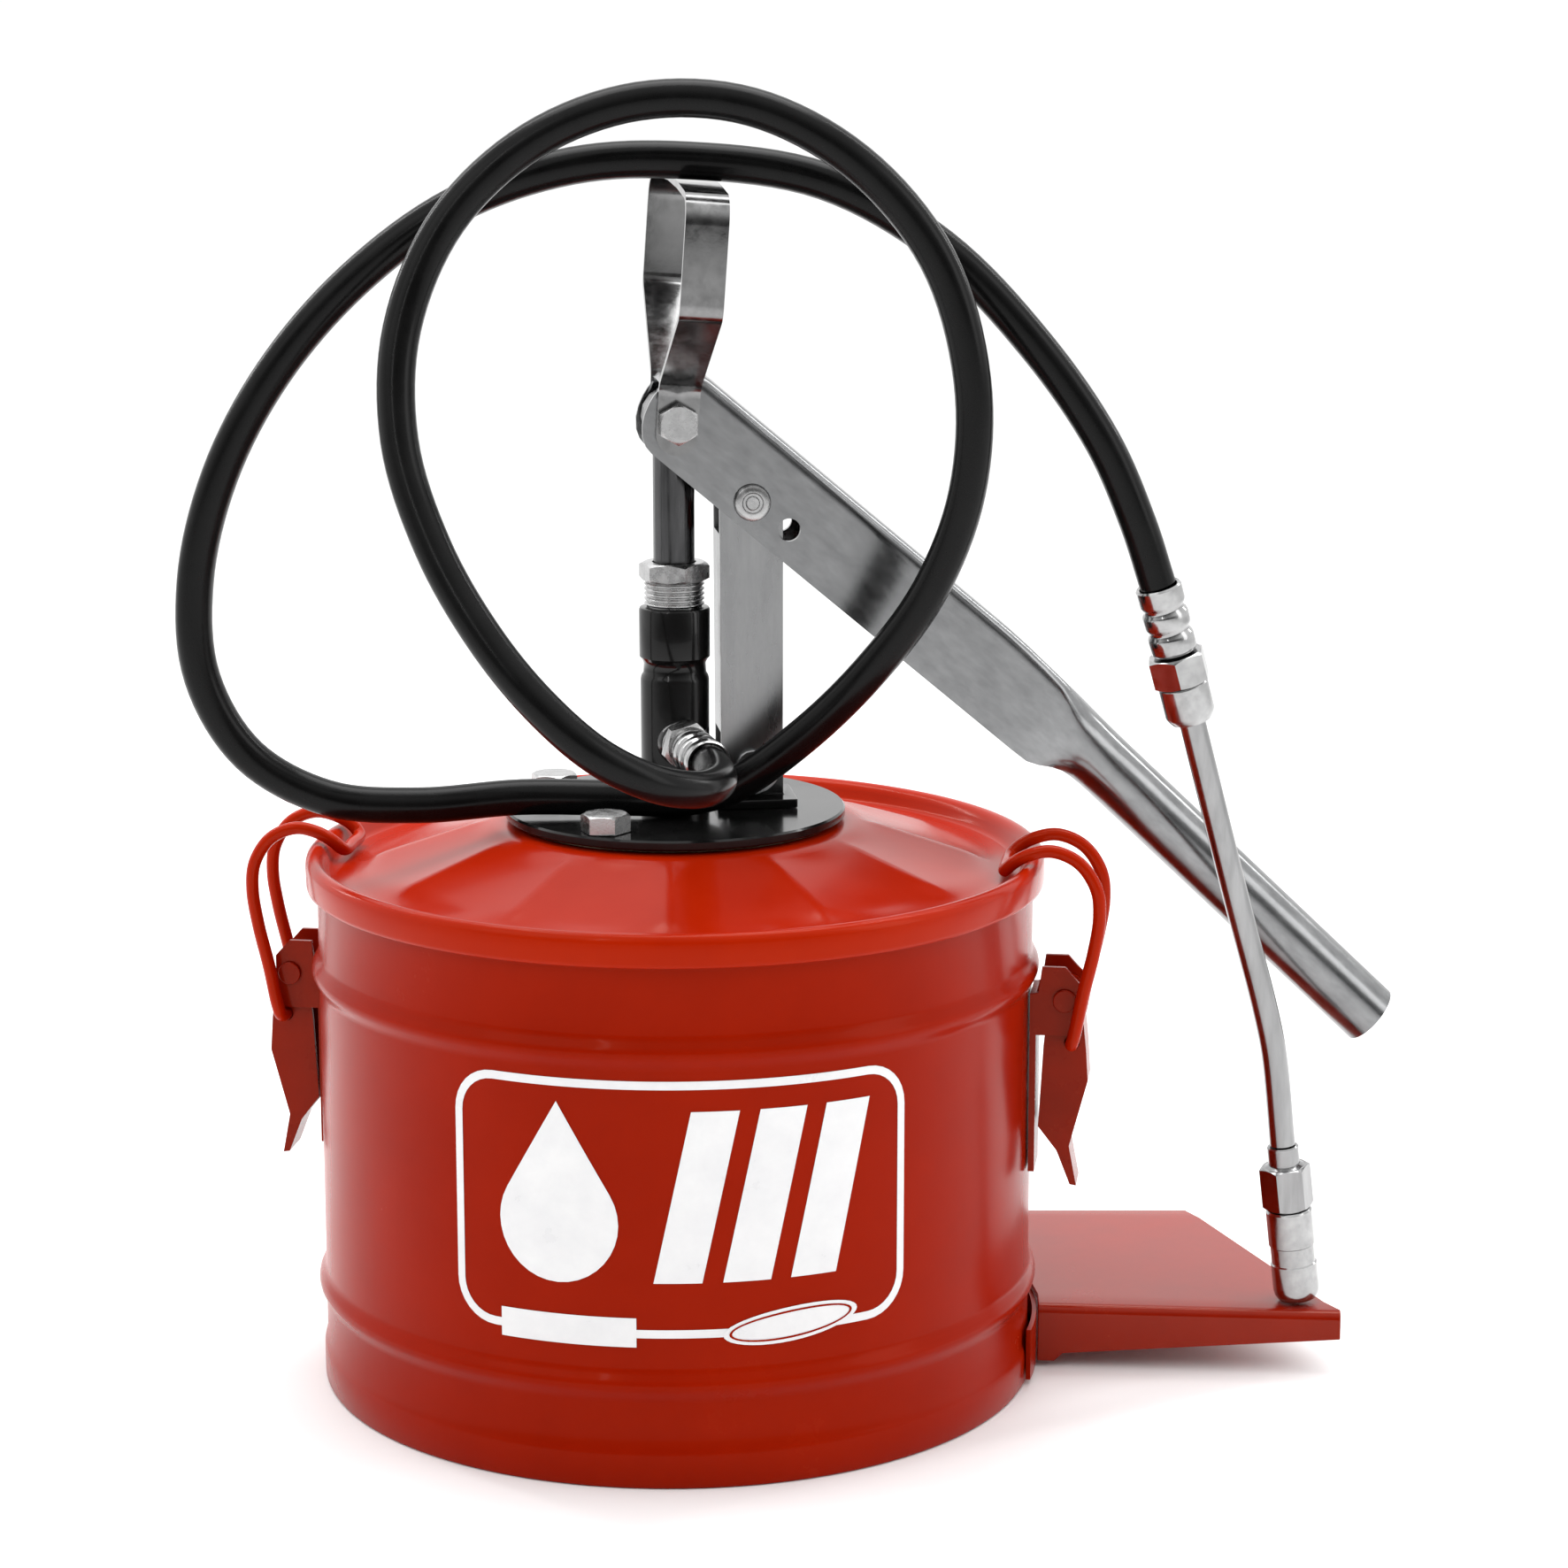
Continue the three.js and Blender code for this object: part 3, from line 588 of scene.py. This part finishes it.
def add_foot_plate():
    """A deck between the bucket and a slanted outer edge, bent down to a skirt at the front and rear."""
    bend, deck_z = 2, 19
    front_way, rear_way = Vector((-0.077, -0.997, 0)), Vector((0, 1, 0))
    front_angle, rear_angle = math.atan2(-10.4, BRACKET_R), math.atan2(86.5, 73.2)
    front_tip, rear_tip = Vector((206.8, -17.4, 0)), Vector((168.9, 86.5, 0))

    def deck_point(along, back):
        angle = front_angle + (rear_angle - front_angle) * back
        wall = Vector((BRACKET_R * math.cos(angle), BRACKET_R * math.sin(angle), 0))
        return wall.lerp(front_tip.lerp(rear_tip, back), along)

    def bent_edge(edge, way, low):
        """From the deck over the bend and down the skirt."""
        centre = edge - way * (bend + 1) + Vector((0, 0, deck_z - bend))
        turns = [math.radians(15 * k) for k in range(7)]
        points = [centre + (way * math.sin(a) + Vector((0, 0, math.cos(a)))) * bend for a in turns]
        foot = points[-1].copy()
        foot.z = low
        return [*points, foot]

    rows = []
    for along in (0, 0.03, 0.055, 0.085, 0.2, 0.4, 0.6, 0.8, 0.95, 1):
        front_low = 1.6 if along < 0.06 else 4.2 + 6.8 * (along - 0.085) / 0.915
        rear_low = 6 + 5 * along
        front = bent_edge(deck_point(along, 0), front_way, front_low)
        rear = bent_edge(deck_point(along, 1), rear_way, rear_low)
        middle = [deck_point(along, back) + Vector((0, 0, deck_z)) for back in (0.1, 0.35, 0.65, 0.9)]
        rows.append([*reversed(front), *middle, *rear])
    deck = add_mesh(
        "foot_pressing", sheet_grid(rows), "foot_red", BASE, ["foot_plate"], sharp=60
    )
    thicken(deck)
    round_edges(deck, 0.5, 60)


# ---------- label ----------
def on_bucket(across, height, lift=0.15):
    """A point of the wall, with across measured along it from the front."""
    radius = BUCKET_R + lift
    angle = across / radius - math.pi / 2
    return (radius * math.cos(angle), radius * math.sin(angle), height)


def rounded_box(left, right, low, high, radius, steps=8):
    corners = [(right - radius, high - radius, 0), (left + radius, high - radius, 90),
               (left + radius, low + radius, 180), (right - radius, low + radius, 270)]
    outline = []
    for x, y, start in corners:
        for k in range(steps + 1):
            angle = math.radians(start + 90 * k / steps)
            outline.append((x + radius * math.cos(angle), y + radius * math.sin(angle)))
    return outline


def band(outer, inner):
    """Faces between two closed outlines with the same number of points."""
    count = len(outer)
    vertices = [on_bucket(*p) for p in outer + inner]
    faces = [[i, (i + 1) % count, count + (i + 1) % count, count + i] for i in range(count)]
    return vertices, faces


def patch(outline, step=2.0, lift=0.15):
    """A filled outline, cut into narrow strips so that it wraps round the wall."""
    work = bmesh.new()
    corners = [work.verts.new((x, y, 0)) for x, y in outline]
    work.faces.new(corners)
    left = min(x for x, _ in outline)
    right = max(x for x, _ in outline)
    for k in range(1, math.ceil((right - left) / step)):
        everything = work.verts[:] + work.edges[:] + work.faces[:]
        bmesh.ops.bisect_plane(work, geom=everything, plane_co=(left + k * step, 0, 0), plane_no=(1, 0, 0))
    work.verts.index_update()
    vertices = [on_bucket(v.co.x, v.co.y, lift) for v in work.verts]
    faces = [[v.index for v in face.verts] for face in work.faces]
    work.free()
    return vertices, faces


def oval(half_width, half_height, steps=40):
    """The outline of the slightly tilted oval at the lower right of the label."""
    angles = [2 * math.pi * k / steps for k in range(steps)]
    outline = [(half_width * math.cos(a), half_height * math.sin(a)) for a in angles]
    return [(36.5 + x, 48 + y + 0.1 * x) for x, y in outline]


def label_frame():
    """A thin line round the label, in short steps so that it follows the wall."""
    outer = rounded_box(-65, 73.5, 45.5, 122, 13)
    inner = rounded_box(-62.5, 71, 48, 119.5, 10.5)
    fine_outer, fine_inner = [], []
    count = len(outer)
    for i in range(count):
        j = (i + 1) % count
        parts = max(1, math.ceil(math.dist(outer[i], outer[j]) / 2))
        for k in range(parts):
            share = k / parts
            fine_outer.append([a + (b - a) * share for a, b in zip(outer[i], outer[j])])
            fine_inner.append([a + (b - a) * share for a, b in zip(inner[i], inner[j])])
    return band(fine_outer, fine_inner)


def label_drop(radius=18, tip=28):
    outline = [(0, tip)]
    for k in range(25):
        angle = math.radians(30 - 240 * k / 24)
        outline.append((radius * math.cos(angle), radius * math.sin(angle) - 8))
    return patch([(x - 32, y + 87) for x, y in outline])


def label_bar(left, width=14, low=62, high=113, slant=11):
    return patch(
        [(left, low), (left + width, low), (left + width + slant, high), (left + slant, high)]
    )


def add_label():
    shapes = [label_frame(), label_drop()]
    shapes += [label_bar(-4 + 20 * k) for k in range(3)]
    shapes.append(patch([(-50, 42.7), (-9, 42.7), (-9, 51.5), (-50, 51.5)], lift=0.25))
    shapes.append(patch(oval(20.5, 5.2), lift=0.25))
    add_mesh("label", together(*shapes), "label_white", BASE)
    lifted = [[(x, y, 0.35) for x, y in oval(*size)] for size in ((18.8, 4.2), (18, 3.6))]
    add_mesh("label_oval_line", band(*lifted), "bucket_red", BASE)


# ---------- pump ----------
def thread(radius, low, high, pitch, depth):
    """Half of a profile: the ridges of a thread, from low to high."""
    ridges = []
    count = int((high - low) / pitch)
    for k in range(count):
        at = low + k * pitch
        ridges += [(radius - depth, at), (radius, at + pitch * 0.35), (radius, at + pitch * 0.55),
                   (radius - depth, at + pitch * 0.9)]
    return ridges


def add_pump_body():
    barrel = turned(
        [(6.8, 168), (10.5, 168), (10.5, 217.8), (10.2, 218.9), (9.6, 219.9), (9.5, 222.8),
         (10.1, 223.9), (10.8, 224.8), (10.8, 239.2), (10.5, 239.8), (9.9, 240), (8.4, 240),
         (8.4, 226), (6.8, 226)],
    )
    boss = turned([(2, 7.5), (7.5, 7.5), (7.5, 11.9), (7.1, 12.5), (2, 12.5)], 48)
    shape = together(barrel, moved(boss, aim((0, 0, OUTLET_Z), OUTLET_DIRECTION)))
    add_mesh("pump_barrel", shape, "black_paint", BASE, ["pump_body"])


def add_gland_nut():
    ridges = thread(9.15, 240.4, 248, 1.5, 0.7)
    threaded = turned([(6.7, 232), (8.1, 232), (8.1, 240.3), *ridges, (9.1, 248.4), (6.7, 248.4)], 72)
    head = moved(hexagon(19, 248.1, 253.7, 6.7), Matrix.Rotation(math.radians(19), 4, "Z"))
    add_mesh("gland_nut_threaded", together(threaded, head), "zinc_plate", BASE, ["gland_nut"], sharp=25)


def add_outlet():
    ridges = thread(5.9, 20.2, 24.2, 1.1, 0.45)
    tube = turned([(3, 12.9), (6, 12.9), (6, 14.2), (6, 19.5), *ridges, (3, 24.2)], 48)
    nut = hexagon(14, 14.4, 20, 3)
    collar = turned([(3, 13), (6.9, 13), (7.2, 13.4), (7.2, 14.2), (3, 14.2)], 48)
    shape = moved(together(tube, nut, collar), aim((0, 0, OUTLET_Z), OUTLET_DIRECTION))
    add_mesh("outlet_fitting", shape, "zinc_plate", BASE, ["outlet_adapter"], sharp=25)


def add_flange():
    plate = turned(
        [(11, 175.4), (51.6, 175.4), (52.1, 175.9), (52.1, 177.8), (51.5, 178.4), (11, 178.4)], 160
    )
    add_mesh("flange_disc", plate, "black_paint", BASE, ["flange_plate"])
    for number in (1, 2, 3):
        name = "flange_bolt_%d" % number
        low, high = (Vector(corner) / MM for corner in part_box(name))
        axis = (low + high) / 2
        at = Matrix.Translation((axis.x, axis.y, 0)) @ Matrix.Rotation(math.radians(8 * number), 4, "Z")
        head = hexagon(13, 178.7, 184, 0, chamfer_low=False)
        shank = turned([(0, 165), (3.9, 165), (3.9, 178.8), (0, 178.8)], 24)
        add_mesh(name + "_hex", moved(together(head, shank), at), "zinc_plate", BASE, [name], sharp=25)


# ---------- lever, handle and latches ----------
def channel_line(half, low, high, radius, count):
    """Points of a sheet bent to an upside-down U, evenly spaced from one lower edge to the other."""
    radius = max(0.01, min(radius, (high - low) / 2))
    line = filleted([(-half, low, 0), (-half, high, radius), (half, high, radius), (half, low, 0)], 6)
    return evenly(line, count)


def tube_line(radius, centre, count):
    """The same sheet rolled to a tube, with its seam underneath."""
    seam = 0.03
    sweep = 2 * math.pi - 2 * seam
    angles = [-math.pi / 2 - seam - sweep * k / (count - 1) for k in range(count)]
    return [Vector((radius * math.cos(a), centre + radius * math.sin(a))) for a in angles]


def evenly(line, count):
    """That many points along the line, at equal distances."""
    lengths = [0.0]
    for a, b in zip(line, line[1:]):
        lengths.append(lengths[-1] + (b - a).length)
    points, k = [], 0
    for i in range(count):
        at = lengths[-1] * i / (count - 1)
        while k < len(lengths) - 2 and lengths[k + 1] < at:
            k += 1
        share = (at - lengths[k]) / max(1e-9, lengths[k + 1] - lengths[k])
        points.append(line[k].lerp(line[k + 1], min(1, share)))
    return points


def lever_rows():
    """Sections across the lever, from its rounded rear end to the end of its grip.

    The channel starts to narrow at taper, and its lower edges start to draw in at neck, where they
    roll into the grip's tube.
    """
    count = 61
    taper, neck = 124, 148
    rows = []
    rear = [-10.4, -10, -9, -7.5, -5, -2.5, 0]
    body = [8 * k for k in range(1, 19)] + [150, 154, 158, 162, 166, 170, 174]
    grip = [180 + 12.6 * k for k in range(10)]
    for x in rear + body + grip:
        swell = math.sqrt(max(0, 1 - (min(x, 0) / 10.5) ** 2))
        low, high = 4 - 16 * swell, 4 + 11 * swell
        if x > taper:
            high = 15 - (x - taper) * 0.07
        if x > neck:
            low = -12 + 5 * smooth_step(neck, 166, x)
        narrowed = smooth_step(140, 160, x)
        flat = channel_line(11 - 1.2 * narrowed, low, high, 2.3 + 6 * narrowed, count)
        tube = tube_line(8.8, 4 - (x - neck) * 0.0625, count)
        rolled = smooth_step(150, 174, x)
        section = [a.lerp(b, rolled) for a, b in zip(flat, tube)]
        rows.append([(x, p.x, p.y) for p in section])
    return rows


def lever_place():
    return HEAD_TURN @ Matrix.Translation(LEVER_PIVOT) @ Matrix.Rotation(LEVER_TILT, 4, "Y")


def across_lever(x, z):
    """Stands a shape made along Z across the lever's plane, with its top towards the front."""
    return HEAD_TURN @ Matrix.Translation((x, 0, z)) @ Matrix.Rotation(math.pi / 2, 4, "X")


def drilled(piece, holes):
    """Cuts round holes across the lever's plane through a piece. A hole is ((x, z), radius)."""
    for (x, z), radius in holes:
        rod = turned([(0, -30), (radius, -30), (radius, 30), (0, 30)], 32)
        drill = bpy.data.objects.new("drill", bare_mesh("drill", moved(rod, across_lever(x, z))))
        bpy.context.scene.collection.objects.link(drill)
        cut = piece.modifiers.new("hole", "BOOLEAN")
        cut.operation = "DIFFERENCE"
        cut.solver = "EXACT"
        cut.object = drill
        bpy.context.view_layer.update()
        evaluated = piece.evaluated_get(bpy.context.evaluated_depsgraph_get())
        result = bpy.data.meshes.new_from_object(evaluated)
        piece.modifiers.clear()
        piece.data = result
        bpy.data.objects.remove(drill)


def add_lever():
    shape = moved(sheet_grid(lever_rows()), lever_place())
    lever = add_mesh(
        "lever_pressing", shape, "galvanised_lever", "hand_lever", ["lever"]
    )
    thicken(lever)
    drilled(lever, [(SPARE_HOLE, 3.5), (FULCRUM, 4.3), ((0, LEVER_PIVOT.z), 3.8)])
    lever.data.polygons.foreach_set("use_smooth", [True] * len(lever.data.polygons))
    lever.data.set_sharp_from_angle(angle=math.radians(40))


def add_pins():
    head = hexagon(11, 14.6, 18.9, chamfer_low=False)
    shank = turned([(0, -22), (3, -22), (3.4, -21.6), (3.4, 14.8), (0, 14.8)], 32)
    shape = moved(together(head, shank), across_lever(0, LEVER_PIVOT.z))
    add_mesh("pivot_bolt_hex", shape, "zinc_plate", "plunger", ["pivot_bolt"], sharp=25)
    rear = [(0, -14.3), (4.2, -14.3), (5.2, -13.9), (5.6, -13.2), (5.6, -12.3), (4, -12.3)]
    front = [(4, 12.3), (5.6, 12.3), (5.6, 13), (5.2, 13.8), (4.3, 14.2), (3.3, 14.2), (2.9, 13.7)]
    centre = [(2.2, 13.7), (1.8, 14.3), (0, 14.3)]
    shape = moved(turned(rear + front + centre, 48), across_lever(*FULCRUM))
    add_mesh("riveted_head", shape, "zinc_plate", "hand_lever", ["fulcrum_rivet"])


def add_carrying_handle():
    """A flat strip bent round the rod's eye, with rounded ears and a slightly arched grip."""
    ear, foot, half_width = 13.3, 287.6, 6.25
    half = [(ear, foot, 0), (ear, 308.6, 6), (60, 333.2, 5), (60, 366.2, 8), (30, 368.2, 60), (0, 369, 0)]
    right = filleted(half)
    ear_steps = 9
    round_ear = [right[0].lerp(Vector((ear, 294)), (k / (ear_steps - 1)) ** 1.6) for k in range(ear_steps)]
    right = round_ear + right[1:]
    line = right + [Vector((-p.x, p.y)) for p in reversed(right[:-1])]
    rows = []
    for i, point in enumerate(line):
        in_ear = i < ear_steps or i >= len(line) - ear_steps
        above = min(half_width, point.y - foot) if in_ear else half_width
        wide = max(0.6, math.sqrt(max(0, half_width**2 - (half_width - above) ** 2)))
        rows.append([(wide * share, point.x, point.y) for share in (-1, -0.94, -0.5, 0, 0.5, 0.94, 1)])
    lean = Matrix.Translation(LEVER_PIVOT) @ Matrix.Rotation(HANDLE_LEAN, 4, "Y")
    shape = moved(sheet_grid(rows), HEAD_TURN @ lean @ Matrix.Translation(-LEVER_PIVOT))
    handle = add_mesh(
        "carrying_strip", shape, "handle_steel", "carrying_handle", ["carry_handle"]
    )
    thicken(handle)
    round_edges(handle, 0.35, 50)


def add_bail(side):
    """A wire from its eye on the latch lever, over the lid's rim, and the same mirrored."""
    half = 11.9
    eye = joint_place("bail_hinge_" + side)
    x, z = eye.xy.length, eye.z
    wire = [
        (x, 4.2, z), (x, 8.4, z), (x + 0.3, 11.2, z + 1), (x + 1.2, half, z + 4.5), (x + 3.4, half, z + 16),
        (129.8, half, 139), (131.3, half, 150), (130.3, half, 158.5), (125, half, 166.4), (117, half, 169.8),
        (110, half, 168.6), (105.2, half, 166), (102.8, 10.8, 163.6), (102.2, 8, 162.8),
    ]
    mirrored = [(px, -py, pz) for px, py, pz in reversed(wire)]
    turn = Matrix.Rotation(joint_yaw("latch_hinge_" + side), 4, "Z")
    line = [turn @ p for p in smooth_line([*wire, (102.2, 0, 162.8), *mirrored], 6)]
    add_wire("bail_wire_" + side, line, BAIL_WIRE_R, "lid_red", "bail_" + side, ["latch_bail_" + side])


# ---------- CAD nodes that stay ----------
LATCH_PIECES = [
    piece + side for piece in ("latch_bracket_", "latch_pin_", "latch_lever_") for side in SIDES
]
KEPT = {  # look: (nodes, width of their rounded edges)
    "bucket_red": (["bucket_bottom", "foot_bracket"], 0.5),
    "latch_red": (LATCH_PIECES, 0.35),
    "black_paint": (["link_lug"], 0.5),
    "zinc_plate": (["flange_nut_1", "flange_nut_2", "flange_nut_3", "piston_nut", "pivot_nut"], 0.4),
    "galvanised_link": (["support_link", "link_pin"], 0.6),
    "bright_steel": (["foot_valve_ball", "outlet_valve_ball"], 0),
    "dark_steel": (
        ["piston_rod", "piston", "pump_cylinder", "foot_valve", "pivot_bush_front", "pivot_bush_rear"],
        0.4,
    ),
    "rubber_seal": (["lid_gasket", "piston_cup"], 0.2),
    "fibre_seal": (["plate_gasket", "gland_packing"], 0),
}


def dress(node, look, edge):
    node.material_slots[0].material = LOOK[look]
    node.data.polygons.foreach_set("use_smooth", [True] * len(node.data.polygons))
    weld = node.modifiers.new("weld", "WELD")
    weld.merge_threshold = 0.002 * MM
    if edge:
        round_edges(node, edge, harden=False)
    node.modifiers.new("normals", "WEIGHTED_NORMAL")


# ---------- stage ----------
def add_floor():
    reach = 400
    mesh = bpy.data.meshes.new("floor")
    corners = [(-reach, -reach, 0), (reach, -reach, 0), (reach, reach, 0), (-reach, reach, 0)]
    mesh.from_pydata(corners, [], [(0, 1, 2, 3)])
    floor = bpy.data.objects.new("floor", mesh)
    floor.location.z = -0.3 * MM
    bpy.context.scene.collection.objects.link(floor)
    mesh.materials.append(LOOK["floor"])


def add_panel_light(name, location, size, power, target=(0.03, 0, 0.18)):
    data = bpy.data.lights.new(name, "AREA")
    data.shape = "RECTANGLE"
    data.size, data.size_y = size
    data.energy = power
    light = bpy.data.objects.new(name, data)
    light.location = location
    light.rotation_euler = (Vector(target) - Vector(location)).to_track_quat("-Z", "Y").to_euler()
    bpy.context.scene.collection.objects.link(light)


def add_world():
    """A white room, bright overhead and behind.

    It is dim in front, so that paint stays deep and metal has contrast.
    """
    world = bpy.data.worlds.new("studio")
    world.use_nodes = True
    nodes, link = world.node_tree.nodes, world.node_tree.links.new
    background = nodes["Background"]
    place = nodes.new("ShaderNodeTexCoord")
    split = nodes.new("ShaderNodeSeparateXYZ")
    rise = nodes.new("ShaderNodeMath")
    rise.operation = "MULTIPLY_ADD"
    rise.inputs[1].default_value = 0.6
    shade = nodes.new("ShaderNodeMapRange")
    shade.interpolation_type = "SMOOTHSTEP"
    shade.inputs["From Min"].default_value = -0.85
    shade.inputs["From Max"].default_value = 0.1
    shade.inputs["To Min"].default_value = 0.1
    shade.inputs["To Max"].default_value = 1.25
    link(place.outputs["Generated"], split.inputs["Vector"])
    link(split.outputs["Z"], rise.inputs[0])
    link(split.outputs["Y"], rise.inputs[2])
    link(rise.outputs["Value"], shade.inputs["Value"])
    link(shade.outputs["Result"], background.inputs["Strength"])
    background.inputs["Color"].default_value = (1, 1, 1, 1)
    bpy.context.scene.world = world
    bpy.context.scene.view_settings.view_transform = "Standard"


add_hose()
add_delivery_tube()
add_bucket()
add_lid()
add_foot_plate()
add_label()
add_pump_body()
add_gland_nut()
add_outlet()
add_flange()
add_lever()
add_pins()
add_carrying_handle()
for side in SIDES:
    add_bail(side)
for look, (names, edge) in KEPT.items():
    for node_name in names:
        dress(frame["nodes"][node_name], look, edge)
add_floor()
add_world()
add_panel_light("key_light", (-1.1, -1.0, 1.3), (0.9, 0.9), 2)
add_panel_light("side_light", (1.3, -0.5, 0.8), (0.5, 1.1), 3)
add_panel_light("top_light", (0, 0.3, 1.6), (1.4, 1.0), 18)
add_panel_light("left_strip", (-0.75, 0.55, 0.95), (0.08, 0.9), 2.5)
add_panel_light("right_strip", (0.85, 0.45, 0.95), (0.08, 0.9), 2.5)
add_panel_light("front_strip", (-0.45, -1.1, 0.95), (0.05, 0.5), 0.8)
